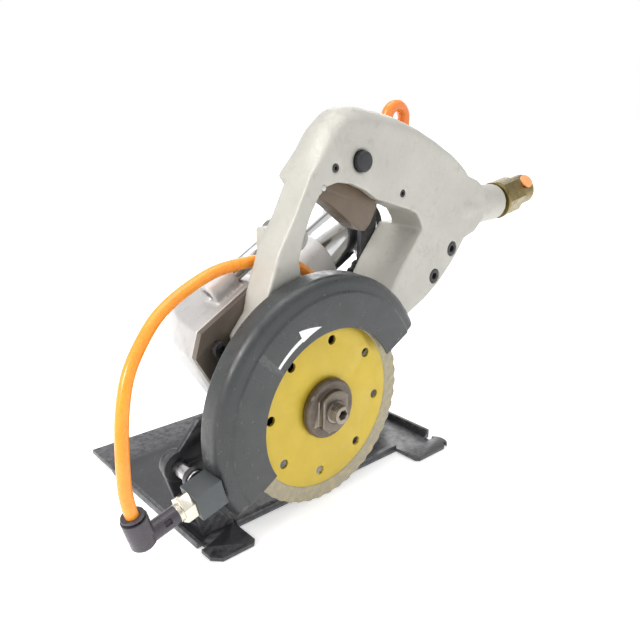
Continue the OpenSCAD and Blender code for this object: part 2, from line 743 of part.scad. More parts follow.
module elbow_collet() {
    color("#3f3c45") water_line() translate([block_out + elbow_out, 0, -collet_h]) difference() {
        union() {
            translate([0, 0, 1]) cylinder(h = 10, r = collet_r);
            cylinder(h = 1, r = collet_r + 0.9);
        }
        translate([0, 0, -1]) cylinder(h = 4.5, r = hose_d / 2);
        translate([0, 0, 2]) cylinder(h = 20, r = hose_d / 2 - 1);
    }
}
// Tube swept along the hose's own points
hose_sides = 10;
function unit(v) = v / norm(v);
function tangent(p, i) = unit(p[min(i + 1, len(p) - 1)] - p[max(i - 1, 0)]);
function ring_points(c, t, r) =
    let (u = unit(cross(t, [0, 1, 0.2])), v = cross(t, u))
    [for (k = [0 : hose_sides - 1])
        c + r * (cos(k * 360 / hose_sides) * u + sin(k * 360 / hose_sides) * v)];
module water_hose() {
    points = [for (i = [0 : len(hose_path) - 1])
        each ring_points(hose_path[i], tangent(hose_path, i), hose_d / 2)];
    last = len(hose_path) - 1;
    sides = [for (i = [0 : last - 1], k = [0 : hose_sides - 1])
             let (a = i * hose_sides + k, b = i * hose_sides + (k + 1) % hose_sides)
             [a, a + hose_sides, b + hose_sides, b]];
    ends = [[for (k = [0 : hose_sides - 1]) k],
            [for (k = [hose_sides - 1 : -1 : 0]) last * hose_sides + k]];
    color("#f59a2c") cutting() polyhedron(points, concat(sides, ends));
}
module rail_fitting() {
    color("#5a565f") tilted() translate([hose_end_a, hose_y, rail_top_b]) difference() {
        union() {
            cylinder(h = 4, r = 5, $fn = 6);
            translate([0, 0, 4]) cylinder(h = fitting_h - 4, r = 4.6);
        }
        translate([0, 0, fitting_h - 3]) cylinder(h = 4, r = hose_d / 2);
    }
}

// ---- Loop handle ----
module handle_outline() {
    polygon([[-40, 40], [-36, 30], [-26, 20], [0, 0], [28, 5.8], [40, 12.8], [75, 33], [88, 39],
        [100, 47], [110, 56],
             [117, 64], [122, 71], [132, 74], [140, 81], [140, 99], [131, 105], [122, 108],
                 [115, 114], [103, 122], [90, 128],
             [75, 133.5], [60, 137], [45, 139.5], [30, 141], [20, 139.5], [12, 133], [6, 125],
                 [-3, 116], [-12, 98], [-22, 81],
             [-29, 61], [-31, 51]]);
}
module window_outline() {
    polygon([[-5, 56], [-7, 64], [-9.5, 76], [-6, 88], [-2, 98], [3, 106], [8, 110], [15, 111.5],
        [25, 110], [35, 106],
             [43, 101], [50, 99], [60, 96], [70, 93], [76, 90.5], [80, 85.5], [82, 81], [73, 69.7],
             [66, 61], tilt_point(75, rail_top_b), tilt_point(65, rail_top_b),
                 tilt_point(50, rail_top_b), [20, 37], [4, 44]]);
}
// Points of the grip's top edge, and how far its crown rises from each
crown = [[[-3, 116], [0, 0]], [[6, 125], [-2, 3]], [[12, 133], [-2, 5]], [[20, 139.5], [-1, 6]],
    [[30, 141], [0, 6.5]],
         [[45, 139.5], [0, 6]], [[60, 137], [1, 5]], [[75, 133.5], [1, 3.5]], [[90, 128], [1, 1.8]],
             [[103, 122], [0, 0]]];
module crown_slab(inset, share) {
    slab(handle_y + inset, handle_y + grip_w - inset)
        polygon(concat([for (p = crown) p[0] + share * p[1]], [[60, 122], [20, 124], [4, 116]]));
}
module handle_plan() {
    difference() {
        handle_outline();
        window_outline();
    }
}
module handle_casting() {
    color("#b8baae") at_spindle() difference() {
        union() {
            slab(handle_y, handle_y + arm_w) handle_plan();
            slab(handle_y + arm_w - 1, handle_y + grip_w) intersection() {
                handle_plan();
                polygon([[-6, 150], [-6, 116], [4, 104], [46, 70], [160, 70], [160, 150]]);
            }
            slab(handle_y + arm_w - 1, handle_y + rail_w) intersection() {
                handle_plan();
                polygon([[39, 0], [150, 0], [150, 81], [60, 81], [39, 60]]);
            }
            crown_slab(1.5, 0.4);
            crown_slab(4, 0.75);
            crown_slab(7.5, 1);
            rod_x(118, inlet[0], 13.2, [grip_mid_y, inlet[1]], r2 = 11.4);
            // port boss behind the front arm, where the motor's air tube starts
            slab(handle_y + arm_w - 1, port_end) {
                translate(port - [20, 4]) square([20, 4 + port_r]);
                translate(port) circle(r = port_r);
            }
        }
        rod_y(0, 60, nose_flange_r + 1);
        // trigger slot in the underside of the grip
        slab(grip_mid_y - slot_w / 2, grip_mid_y + slot_w / 2)
            polygon([[-3, 96], [-1, 115], [34, 119.5], [52, 112], [54, 88], [20, 80]]);
        rod_y(0, handle_y + 5.4, button_r + run, button);
        rod_y(0, 60, trigger_pin_d / 2, pivot);
        for (p = pin_spots) rod_y(0, 60, 2, p);
        translate([stem_x, grip_mid_y, 112]) cylinder(h = 22, r = stem_r + run);
        translate([stem_x, grip_mid_y, 121]) cylinder(h = spring_top - 121, r = 4);
        // air way from the inlet to the valve
        translate([inlet[0] - 12, grip_mid_y, inlet[1]]) rotate([0, -71, 0]) cylinder(h = 120, r = 3.5);
        for (p = clamp_bolts) {
            rod_y(0, 60, 2.5, p);
            rod_y(0, handle_y + 4.9, 4.3, p);
        }
        for (p = foot_spots) {
            rod_y(0, 60, 2.5, p);
            rod_y(0, handle_y + 5, 4.3, p);
        }
        rod_y(26, 60, stop_r + run, stop - [0, spindle_h]);
        rod_y(handle_y + 8, port_end + 1, 3.4, port);
        translate([inlet[0], grip_mid_y, inlet[1]]) rotate([0, -inlet_tilt, 0])
            rod_x(-15, 3, inlet_r + run);
        tilted_port() translate([0, 0, -8]) cylinder(h = 9, r = 1.5);
        rod_y(handle_y + 12, 60, 3, valve_at);
    }
}
module tilted_port() { rotate([0, -motor_tilt, 0]) translate([hose_end_a, hose_y, rail_top_b])
    children(); }
pin_spots = [[13.5, 118.5], [63.5, 102.5]];
foot_spots = [[-30, 36], [16.7, 29]];
module foot_screws() {
    color("#303234") at_spindle() for (p = foot_spots) cap_screw_y(handle_y + 0.4, 4, 4.6, 2.5, 26, p);
}
module roll_pins() {
    color("#3a3a38") at_spindle() for (p = pin_spots)
        ring_y(handle_y + 0.3, handle_y + grip_w - 0.3, 0.9, 2, p);
}
// Air tube from the handle's port to the gear head
module air_elbow() {
    color("#9fa2a0") at_spindle() difference() {
        union() {
            rod_y(port_end, air_tube_y + 6.5, port_r, port);
            rotate([0, -motor_tilt, 0]) rod_x(tube_end - 5, 44.6, 6.2, [air_tube_y, air_tube_b]);
        }
        rod_y(30, air_tube_y, 3.4, port);
        rotate([0, -motor_tilt, 0]) rod_x(tube_end - 6, tube_end, tube_r, [air_tube_y, air_tube_b]);
    }
}
module air_tube() {
    color("#c9ccce") tilted() ring_x(tube_start, tube_end, 3.3, tube_r, [air_tube_y, air_tube_b]);
}

// ---- Trigger and throttle valve ----
stem_r = 2;
trigger_top = 112.5;
stem_head = 126.5;   // top of the stem, which the spring presses on
spring_top = 134;
module trigger() {
    color("#7b6650") at_spindle() slab(grip_mid_y - trigger_w / 2, grip_mid_y + trigger_w / 2)
        difference() {
        polygon([[1.5, 107], [3.5, trigger_top], [44, trigger_top - 3], [48, 102], [49, 95], [45, 87.5],
                 [41, 84], [37, 84.5], [28, 91], [18, 98.5], [8, 104.5]]);
        translate(pivot) circle(r = trigger_pin_d / 2 + run);
    }
}
module trigger_pin() {
    color("#8f9294") at_spindle() rod_y(handle_y + 0.4, handle_y + grip_w - 0.4, trigger_pin_d / 2, pivot);
}
stem_base = trigger_top - (stem_x - 3.5) * 3 / 40.5 + 0.5;
module valve_stem() {
    color("#b79a4a") at_spindle() translate([stem_x, grip_mid_y, 0]) {
        translate([0, 0, stem_base]) cylinder(h = stem_head - stem_base, r = stem_r);
        translate([0, 0, stem_head - 1.5]) cylinder(h = 1.5, r = 3.4);
    }
}
module valve_spring() {
    color("#c0c3c5") at_spindle() translate([stem_x, grip_mid_y, stem_head]) difference() {
        cylinder(h = spring_top - stem_head, r = 3.2);
        translate([0, 0, -1]) cylinder(h = 12, r = 2.5);
    }
}
module lock_button() {
    color("#1d1e20") at_spindle() {
        rod_y(handle_y - 2.2, handle_y + 2.4, button_r, button);
        translate([button[0], handle_y - 2.2, button[1]]) rotate([90, 0, 0])
            cylinder(h = 0.9, r1 = button_r, r2 = button_r - 1);
    }
}

// ---- Air inlet ----
inlet_r = 7.5;
thread_r = 5.9;
thread_start = 20.5; // inner end of the inlet thread
plug_x = 28.6;       // where the oil plug stands along the coupling
plug_seat = 7;       // bottom of the plug's pocket, from the coupling's axis
coupling_r = 9.6;    // radius of the coupling's rear end
module inlet_axis() { at_spindle() translate([inlet[0], grip_mid_y, inlet[1]])
    rotate([0, -inlet_tilt, 0]) children(); }
module inlet_coupling() {
    color("#8f7d3a") inlet_axis() difference() {
        union() {
            rod_x(-12, 2.4, inlet_r);
            rod_x(2.4, 5, 12);
            translate([5, 0, 0]) rotate([0, 90, 0]) rotate([0, 0, 30])
                cylinder(h = 18, r = 11.8, $fn = 6);
            rod_x(22, 34.5, coupling_r);
            rod_x(34.5, 36, coupling_r, r2 = coupling_r - 1.2);
        }
        rod_x(thread_start, 37, thread_r);
        rod_x(-13, thread_start + 1, 3.5);
        rotate([plug_turn, 0, 0]) translate([plug_x, 0, plug_seat]) cylinder(h = 6, r = 3.6);
    }
}
plug_turn = 45;      // the oil plug sits on the upper outer side of the coupling
module oil_plug() {
    color("#f0a070") inlet_axis() rotate([plug_turn, 0, 0]) translate([plug_x, 0, plug_seat]) {
        cylinder(h = coupling_r - plug_seat + 0.1, r = 3.6);
        translate([0, 0, coupling_r - plug_seat + 0.1]) cylinder(h = 1.6, r = 4.6);
    }
}

// ---- Water valve on the far side of the grip ----
valve_y = handle_y + grip_w;
module water_valve() {
    color("#a98f4a") at_spindle() translate([valve_at[0], valve_y, valve_at[1]]) difference() {
        union() {
            translate([-12, 0, -7]) cube([22, 10, 14]);
            rod_x(10, 13, 4.8, [5, 0]);
            rod_x(13, 27, 3.2, [5, 0]);
            rod_x(15, 17.5, 4, [5, 0], r2 = 3.2);
            rod_y(-12, 0, 3);
        }
        rod_x(5, 30, 1.8, [5, 0]);
        rod_y(4, 11, 2.5 + run);
    }
}
module valve_lever() {
    color("#f28a30") at_spindle() translate([valve_at[0], valve_y, valve_at[1]]) {
        rod_y(4.2, 10.3, 2.5);
        rod_y(10.3, 16, 6.2);
        translate([0, 14.2, lever_h]) rotate([90, 0, 0]) rotate_extrude(angle = 180)
            translate([lever_arc, 0]) circle(r = lever_wire, $fn = 32);
        for (s = [-1, 1]) translate([s * lever_arc, 14.2, 3]) cylinder(h = lever_h - 3, r = lever_wire);
        translate([-lever_arc, 12.3, -4]) cube([2 * lever_arc, 3.8, 20]);
    }
}

// ---- Depth knob ----
knob_r = 10;
module depth_knob() {
    color("#202224") cutting() {
        rod_y(30, bracket_y + bracket_t + 2, stop_r, stop);
        difference() {
            rod_y(bracket_y + bracket_t + gap, bracket_y + bracket_t + 10, knob_r, stop);
            for (i = [0 : 7]) rod_y(0, 80, 2, stop + (knob_r + 0.6) * [cos(i * 45), sin(i * 45)]);
        }
    }
}

base_shoe();
hinge_bracket();
hinge_pin();
hinge_spacer();
depth_bracket();
bracket_rivets();
gear_head();
link_arm();
head_cover();
cover_screws();
bearing_nose();
nose_screws();
spindle_seal();
spindle_bearings();
countershaft_bearings();
motor_bearings();
motor_housing();
motor_liner();
motor_rear_plate();
motor_barrel();
silencer_sleeve();
exhaust_cap();
barrel_clamp();
clamp_screws();
rotor();
rotor_vanes();
rotor_pinion();
countershaft();
countershaft_pinion();
countershaft_bevel();
spindle();
spindle_gear();
inner_flange();
blade_core();
blade_rim();
flange_nut();
blade_guard();
guard_collar();
collar_screw();
water_block();
water_nipple();
water_elbow();
elbow_collet();
water_hose();
rail_fitting();
handle_casting();
foot_screws();
roll_pins();
air_elbow();
air_tube();
trigger();
trigger_pin();
valve_stem();
valve_spring();
lock_button();
inlet_coupling();
oil_plug();
water_valve();
valve_lever();
depth_knob();
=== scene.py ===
"""Looks of the air-driven wet trim saw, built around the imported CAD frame. Lengths are in metres."""
import json
import math

import bmesh
import bpy
import numpy as np
from mathutils import Matrix, Vector

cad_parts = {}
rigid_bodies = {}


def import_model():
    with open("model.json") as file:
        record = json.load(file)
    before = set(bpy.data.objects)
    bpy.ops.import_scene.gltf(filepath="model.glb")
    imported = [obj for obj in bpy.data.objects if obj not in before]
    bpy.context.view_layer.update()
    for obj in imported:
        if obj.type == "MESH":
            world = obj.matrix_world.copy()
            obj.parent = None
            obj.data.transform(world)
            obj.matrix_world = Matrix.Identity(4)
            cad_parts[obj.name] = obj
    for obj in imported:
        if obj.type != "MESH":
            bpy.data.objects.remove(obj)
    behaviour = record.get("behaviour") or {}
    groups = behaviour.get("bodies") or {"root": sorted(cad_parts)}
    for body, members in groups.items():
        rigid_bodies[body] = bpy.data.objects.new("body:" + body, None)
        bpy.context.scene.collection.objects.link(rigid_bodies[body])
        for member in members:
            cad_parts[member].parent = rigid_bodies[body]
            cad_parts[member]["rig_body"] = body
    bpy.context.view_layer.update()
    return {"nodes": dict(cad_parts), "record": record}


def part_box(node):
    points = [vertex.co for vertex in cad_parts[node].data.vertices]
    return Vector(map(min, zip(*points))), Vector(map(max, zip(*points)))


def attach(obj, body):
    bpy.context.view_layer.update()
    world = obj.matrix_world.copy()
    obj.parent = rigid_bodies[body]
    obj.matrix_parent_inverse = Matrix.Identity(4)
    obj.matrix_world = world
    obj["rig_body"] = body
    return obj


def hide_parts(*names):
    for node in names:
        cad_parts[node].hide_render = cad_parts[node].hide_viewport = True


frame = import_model()
MM = 0.001


# ---------------------------------------------------------------- camera
def aim_camera(place, yaw, pitch, roll, lens):
    """Camera at place, looking yaw degrees from +Y towards +X and pitch degrees above the horizon."""
    yaw, pitch, roll = (math.radians(a) for a in (yaw, pitch, roll))
    ahead = Vector((math.sin(yaw) * math.cos(pitch), math.cos(yaw) * math.cos(pitch), math.sin(pitch)))
    right = Vector((math.cos(yaw), -math.sin(yaw), 0))
    up = right.cross(ahead)
    right, up = right * math.cos(roll) + up * math.sin(roll), up * math.cos(roll) - right * math.sin(roll)
    data = bpy.data.cameras.new("camera")
    data.lens, data.sensor_width = lens, 36
    data.clip_start, data.clip_end = 0.01, 20
    cam = bpy.data.objects.new("camera", data)
    turn = Matrix((right, up, -ahead)).transposed().to_4x4()
    cam.matrix_world = Matrix.Translation(place) @ turn
    bpy.context.scene.collection.objects.link(cam)
    bpy.context.scene.camera = cam
    return cam


aim_camera(Vector((-0.21597, -0.28645, 0.20595)), 42.41, -18.39, 1.13, 38.06)


# ---------------------------------------------------------------- materials
class Shader:
    """A Principled material and short ways to add noise, mixes and bumps to it."""

    def __init__(self, name, color, rough, metal=0.0, **sockets):
        self.mat = bpy.data.materials.new(name)
        self.mat.use_nodes = True
        self.tree = self.mat.node_tree
        self.bsdf = self.tree.nodes["Principled BSDF"]
        self.color, self.rough = color, rough
        self.bsdf.inputs["Base Color"].default_value = (*color, 1)
        self.bsdf.inputs["Roughness"].default_value = rough
        self.bsdf.inputs["Metallic"].default_value = metal
        for key, value in sockets.items():
            self.bsdf.inputs[key.replace("_", " ")].default_value = value
        self.coord = self.node("ShaderNodeTexCoord").outputs["Object"]
        self.normal = None

    def node(self, kind, **settings):
        n = self.tree.nodes.new(kind)
        for key, value in settings.items():
            setattr(n, key, value)
        return n

    def link(self, a, b):
        self.tree.links.new(a, b)

    def stretched(self, scale, turn=(0, 0, 0), place=(0, 0, 0)):
        m = self.node("ShaderNodeMapping", vector_type="TEXTURE")
        m.inputs["Scale"].default_value = scale
        m.inputs["Rotation"].default_value = turn
        m.inputs["Location"].default_value = place
        self.link(self.coord, m.inputs["Vector"])
        return m.outputs["Vector"]

    def noise(self, size, detail=4, rough=0.55, low=0.35, high=0.65, vector=None, warp=0.0):
        """Noise whose blobs are about size metres across, as a value from 0 to 1."""
        n = self.node("ShaderNodeTexNoise")
        n.inputs["Scale"].default_value = 1 / size
        n.inputs["Detail"].default_value = detail
        n.inputs["Roughness"].default_value = rough
        n.inputs["Distortion"].default_value = warp
        self.link(vector or self.coord, n.inputs["Vector"])
        r = self.node("ShaderNodeMapRange")
        r.inputs["From Min"].default_value, r.inputs["From Max"].default_value = low, high
        self.link(n.outputs["Fac"], r.inputs["Value"])
        return r.outputs["Result"]

    def cells(self, size, low=0.0, high=0.5, vector=None):
        v = self.node("ShaderNodeTexVoronoi")
        v.inputs["Scale"].default_value = 1 / size
        self.link(vector or self.coord, v.inputs["Vector"])
        r = self.node("ShaderNodeMapRange")
        r.inputs["From Min"].default_value, r.inputs["From Max"].default_value = low, high
        self.link(v.outputs["Distance"], r.inputs["Value"])
        return r.outputs["Result"]

    def math(self, op, a, b=None):
        m = self.node("ShaderNodeMath", operation=op)
        for i, x in enumerate((a, b)):
            if x is None:
                continue
            if isinstance(x, (int, float)):
                m.inputs[i].default_value = x
            else:
                self.link(x, m.inputs[i])
        return m.outputs[0]

    def tint(self, fac, color, share=1.0):
        """Mixes color into the base colour by fac times share."""
        mix = self.node("ShaderNodeMix", data_type="RGBA")
        self.link(self.math("MULTIPLY", fac, share), mix.inputs["Factor"])
        base = self.bsdf.inputs["Base Color"]
        if base.links:
            self.link(base.links[0].from_socket, mix.inputs["A"])
        else:
            mix.inputs["A"].default_value = (*self.color, 1)
        mix.inputs["B"].default_value = (*color, 1)
        self.link(mix.outputs["Result"], base)
        return self

    def vary_rough(self, fac, low, high):
        r = self.node("ShaderNodeMapRange")
        r.inputs["To Min"].default_value, r.inputs["To Max"].default_value = low, high
        self.link(fac, r.inputs["Value"])
        self.link(r.outputs["Result"], self.bsdf.inputs["Roughness"])
        return self

    def bump(self, height, depth, strength=1.0):
        b = self.node("ShaderNodeBump")
        b.inputs["Distance"].default_value = depth
        b.inputs["Strength"].default_value = strength
        self.link(height, b.inputs["Height"])
        if self.normal is not None:
            self.link(self.normal, b.inputs["Normal"])
        self.normal = b.outputs["Normal"]
        self.link(self.normal, self.bsdf.inputs["Normal"])
        return self

    def edges(self, low=0.52, high=0.6):
        """1 on outer edges, 0 elsewhere, from the surface's own curvature."""
        g = self.node("ShaderNodeNewGeometry")
        r = self.node("ShaderNodeMapRange")
        r.inputs["From Min"].default_value, r.inputs["From Max"].default_value = low, high
        self.link(g.outputs["Pointiness"], r.inputs["Value"])
        return r.outputs["Result"]


def blasted_alloy(name, color, rough=0.42, metal=0.3, grain=0.35 * MM, depth=0.05 * MM, dirt=(0.25, 0.24, 0.2)):
    s = Shader(name, color, rough, metal)
    patches = s.noise(28 * MM, 3)
    s.tint(patches, tuple(c * 0.86 for c in color), 0.7)
    s.tint(s.noise(6 * MM, 5, low=0.58, high=0.75), dirt, 0.25)
    # Lighter along every edge from the surface's curvature: a painted highlight.
    s.tint(s.edges(), tuple(min(1, c * 1.3) for c in color), 0.5)
    s.vary_rough(s.noise(3 * MM, 4), rough - 0.07, rough + 0.1)
    s.bump(s.noise(1.6 * MM, 5), depth * 1.6, 0.7)
    s.bump(s.noise(grain, 3, 0.7), depth, 0.8)
    return s.mat


def black_paint(name, color, rough=0.34, worn_and_highlight_color=(0.3, 0.3, 0.3), worn_edge_and_highlight_share=0.5, coat=0.15):
    s = Shader(name, color, rough, 0.0, Coat_Weight=coat, Coat_Roughness=0.25)
    s.tint(s.noise(20 * MM, 4), tuple(c * 1.5 + 0.008 for c in color), 0.5)
    scratch = s.noise(1.2 * MM, 2, 0.8, 0.66, 0.74, s.stretched((9, 1, 2.5), (0.2, 0.5, 0.9)))
    s.tint(scratch, worn_and_highlight_color, 0.25)
    # Lighter, noisy rub along the edges: partly worn paint, partly a painted highlight.
    worn_edge_and_highlight = s.math("MULTIPLY", s.edges(0.515, 0.57), s.noise(3 * MM, 4, low=0.3, high=0.6))
    s.tint(worn_edge_and_highlight, worn_and_highlight_color, worn_edge_and_highlight_share)
    s.vary_rough(s.noise(5 * MM, 5), rough - 0.08, rough + 0.14)
    s.bump(s.noise(0.7 * MM, 3), 0.035 * MM, 0.7)
    s.bump(s.noise(6 * MM, 2), 0.12 * MM, 0.35)
    return s.mat


def metal(name, color, rough, grain_dir=(1, 1, 14), grain=0.25 * MM, turn=(0, 0, 0), stain=None, depth=0.02 * MM):
    s = Shader(name, color, rough, 1.0)
    lines = s.noise(grain, 2, 0.6, 0.3, 0.7, s.stretched(grain_dir, turn))
    s.tint(s.noise(7 * MM, 5), tuple(c * 0.72 for c in color), 0.55)
    s.tint(lines, tuple(c * 0.8 for c in color), 0.3)
    if stain:
        s.tint(s.noise(3.5 * MM, 6, low=0.5, high=0.72), stain, 0.6)
    # Lighter along every edge from the surface's curvature: a painted highlight.
    s.tint(s.edges(), tuple(min(1, c * 1.4 + 0.05) for c in color), 0.35)
    s.vary_rough(s.noise(2.5 * MM, 5), max(0.03, rough - 0.08), rough + 0.12)
    s.bump(lines, depth, 0.6)
    return s.mat


def plastic(name, color, rough, grain=0.5 * MM, depth=0.03 * MM, shade=0.75, **sockets):
    s = Shader(name, color, rough, 0.0, **sockets)
    s.tint(s.noise(9 * MM, 4), tuple(c * shade for c in color), 0.6)
    # Lighter along every edge from the surface's curvature: a painted highlight.
    s.tint(s.edges(), tuple(min(1, c * 1.3 + 0.03) for c in color), 0.35)
    s.vary_rough(s.noise(2 * MM, 4), max(0.05, rough - 0.07), rough + 0.1)
    s.bump(s.noise(grain, 4, 0.6), depth, 0.7)
    return s.mat


def blade_lacquer(name):
    s = Shader(name, (0.56, 0.41, 0.034), 0.38, 0.3, Coat_Weight=0.15, Coat_Roughness=0.3)
    s.tint(s.noise(22 * MM, 4), (0.47, 0.335, 0.028), 0.6)
    s.tint(s.noise(1.1 * MM, 5, low=0.56, high=0.72), (0.46, 0.30, 0.03), 0.35)
    s.tint(s.noise(0.8 * MM, 2, 0.8, 0.68, 0.76, s.stretched((8, 1, 1), (0, 0.6, 0))), (0.42, 0.38, 0.28), 0.4)
    s.vary_rough(s.noise(4 * MM, 5), 0.28, 0.48)
    s.bump(s.noise(0.6 * MM, 4), 0.04 * MM, 0.7)
    return s.mat


def diamond_rim(name):
    s = Shader(name, (0.34, 0.30, 0.21), 0.55, 0.45)
    s.tint(s.noise(2.4 * MM, 5), (0.30, 0.27, 0.20), 0.8)
    s.tint(s.noise(4 * MM, 5, low=0.5, high=0.7), (0.56, 0.43, 0.12), 0.6)
    grit = s.cells(0.45 * MM, 0.1, 0.55)
    s.tint(grit, (0.52, 0.50, 0.42), 0.25)
    s.vary_rough(s.noise(1 * MM, 4), 0.42, 0.7)
    s.bump(grit, 0.07 * MM, 0.8)
    s.bump(s.noise(0.3 * MM, 3), 0.05 * MM, 0.8)
    return s.mat


def dark_steel(name):
    s = Shader(name, (0.135, 0.11, 0.088), 0.38, 0.75)
    s.tint(s.noise(5 * MM, 5), (0.085, 0.07, 0.058), 0.7)
    s.tint(s.noise(1.5 * MM, 5, low=0.55, high=0.7), (0.2, 0.165, 0.13), 0.4)
    # Lighter along every edge from the surface's curvature: a painted highlight.
    s.tint(s.edges(0.51, 0.56), (0.36, 0.32, 0.27), 0.7)
    s.vary_rough(s.noise(2 * MM, 5), 0.3, 0.52)
    s.bump(s.noise(0.5 * MM, 3), 0.03 * MM, 0.7)
    return s.mat


def plated(name, color=(0.6, 0.6, 0.6), rough=0.1, mark=(0.34, 0.32, 0.29)):
    s = Shader(name, color, rough, 1.0)
    s.tint(s.noise(12 * MM, 4), tuple(c * 0.85 for c in color), 0.5)
    s.tint(s.noise(2.2 * MM, 6, low=0.6, high=0.75), mark, 0.35)
    s.vary_rough(s.noise(6 * MM, 5), rough - 0.03, rough + 0.09)
    s.bump(s.noise(9 * MM, 2), 0.05 * MM, 0.4)
    s.bump(s.noise(0.4 * MM, 2, 0.5, 0.3, 0.7, s.stretched((12, 1, 1), (0, -0.52, 0))), 0.006 * MM, 0.5)
    return s.mat


def hose_skin(name):
    s = Shader(name, (0.94, 0.3, 0.02), 0.27, 0.0, Subsurface_Weight=0.18, Subsurface_Scale=0.004,
               Coat_Weight=0.25, Coat_Roughness=0.12, IOR=1.5)
    s.tint(s.noise(14 * MM, 3), (0.97, 0.37, 0.03), 0.6)
    s.tint(s.noise(2.5 * MM, 4, low=0.6, high=0.75), (0.8, 0.2, 0.02), 0.25)
    s.vary_rough(s.noise(4 * MM, 4), 0.2, 0.36)
    s.bump(s.noise(3 * MM, 3), 0.05 * MM, 0.4)
    return s.mat


def felt(name):
    s = Shader(name, (0.28, 0.25, 0.2), 0.95, 0.0, Sheen_Weight=0.4)
    s.tint(s.noise(0.8 * MM, 6), (0.42, 0.39, 0.33), 0.6)
    s.bump(s.noise(0.5 * MM, 5, warp=1.5), 0.2 * MM, 1.0)
    return s.mat


MATERIALS = {
    "shoe_black": lambda n: black_paint(n, (0.017, 0.018, 0.021), 0.36, (0.20, 0.20, 0.21), 0.45),
    "guard_black": lambda n: black_paint(n, (0.024, 0.028, 0.029), 0.35, (0.33, 0.34, 0.34), 0.12, 0.2),
    "cast_alloy": lambda n: blasted_alloy(n, (0.55, 0.54, 0.53), 0.38, 0.5),
    "handle_alloy": lambda n: blasted_alloy(n, (0.50, 0.49, 0.445), 0.44, 0.3),
    "cover_alloy": lambda n: blasted_alloy(n, (0.165, 0.14, 0.115), 0.4, 0.5,
                               0.3 * MM, 0.03 * MM, (0.09, 0.075, 0.06)),
    "turned_alloy": lambda n: metal(n, (0.55, 0.54, 0.51), 0.3, (1, 14, 1)),
    "black_screws": lambda n: black_paint(n, (0.014, 0.014, 0.015), 0.38, (0.14, 0.14, 0.14), 0.5, 0.0),
    "bright_steel": lambda n: metal(n, (0.55, 0.55, 0.54), 0.24),
    "bearing_steel": lambda n: metal(n, (0.5, 0.51, 0.52), 0.18),
    "ground_steel": lambda n: metal(n, (0.42, 0.43, 0.44), 0.26),
    "gear_steel": lambda n: metal(n, (0.25, 0.25, 0.26), 0.3, stain=(0.12, 0.09, 0.05)),
    "dark_steel": dark_steel,
    "tube_steel": lambda n: metal(n, (0.66, 0.67, 0.67), 0.22, (14, 1, 1), turn=(0, -0.52, 0)),
    "seal_rubber": lambda n: plastic(n, (0.018, 0.018, 0.018), 0.62),
    "barrel_plating": plated,
    "felt": felt,
    "black_plastic": lambda n: plastic(n, (0.017, 0.018, 0.02), 0.42),
    "vane_plastic": lambda n: plastic(n, (0.24, 0.11, 0.05), 0.5),
    "blade_yellow": blade_lacquer,
    "diamond_rim": diamond_rim,
    "block_anodised": lambda n: blasted_alloy(n, (0.085, 0.095, 0.1), 0.36, 0.45,
                                  0.3 * MM, 0.025 * MM, (0.04, 0.045, 0.05)),
    "nickel": lambda n: plated(n, (0.74, 0.70, 0.60), 0.2, (0.5, 0.42, 0.25)),
    "fitting_plastic": lambda n: plastic(n, (0.05, 0.043, 0.055), 0.3, 0.4 * MM, 0.03 * MM, 0.7, Coat_Weight=0.15),
    "hose_orange": hose_skin,
    "trigger_bronze": lambda n: plastic(n, (0.125, 0.085, 0.052), 0.38, 0.4 * MM, 0.03 * MM, 0.8, Coat_Weight=0.1),
    "brass": lambda n: metal(n, (0.27, 0.21, 0.075), 0.3, stain=(0.15, 0.12, 0.055)),
    "plug_orange": lambda n: plastic(n, (0.85, 0.36, 0.13), 0.42, Subsurface_Weight=0.1, Subsurface_Scale=0.003),
    "lever_orange": lambda n: plastic(n, (0.92, 0.24, 0.03), 0.26, 0.6 * MM, 0.02 * MM, 0.85, Coat_Weight=0.3),
    "arrow_white": lambda n: plastic(n, (0.75, 0.78, 0.78), 0.5, 0.3 * MM, 0.02 * MM, 0.8),
}
made = {}


def material(slot):
    if slot not in made:
        made[slot] = MATERIALS[slot](slot)
    return made[slot]


SLOT_OF = {p["node"]: p["material_slot"] for p in frame["record"]["subparts"]}


# ---------------------------------------------------------------- mesh helpers
def new_piece(name, mesh, slot, body, *nodes, look=None):
    """Adds mesh as a visible piece that rides on body and stands for the CAD nodes."""
    piece = bpy.data.objects.new(name, mesh)
    bpy.context.scene.collection.objects.link(piece)
    mesh.materials.clear()
    mesh.materials.append(material(look or slot))
    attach(piece, body)
    if nodes:
        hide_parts(*nodes)
    return piece


def shade(mesh, angle=35):
    mesh.shade_smooth()
    mesh.set_sharp_from_angle(angle=math.radians(angle))


def with_modifiers(mesh, *modifiers):
    """A copy of mesh after modifiers, each given as (type, settings)."""
    holder = bpy.data.objects.new("work", mesh)
    bpy.context.scene.collection.objects.link(holder)
    for kind, settings in modifiers:
        m = holder.modifiers.new(kind.lower(), kind)
        for key, value in settings.items():
            setattr(m, key, value)
    bpy.context.view_layer.update()
    graph = bpy.context.evaluated_depsgraph_get()
    out = bpy.data.meshes.new_from_object(holder.evaluated_get(graph), depsgraph=graph)
    bpy.data.objects.remove(holder)
    return out


def clean_copy(node, join=0.004 * MM, flat=0.6):
    """The CAD node's mesh with its doubled points joined and its flat faces made whole."""
    bm = bmesh.new()
    bm.from_mesh(frame["nodes"][node].data)
    bmesh.ops.remove_doubles(bm, verts=bm.verts, dist=join)
    bmesh.ops.dissolve_limit(bm, angle_limit=math.radians(flat), verts=bm.verts, edges=bm.edges,
                             delimit={"NORMAL"})
    mesh = bpy.data.meshes.new(node)
    bm.to_mesh(mesh)
    bm.free()
    return mesh


def body_of(node):
    return frame["nodes"][node]["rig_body"]


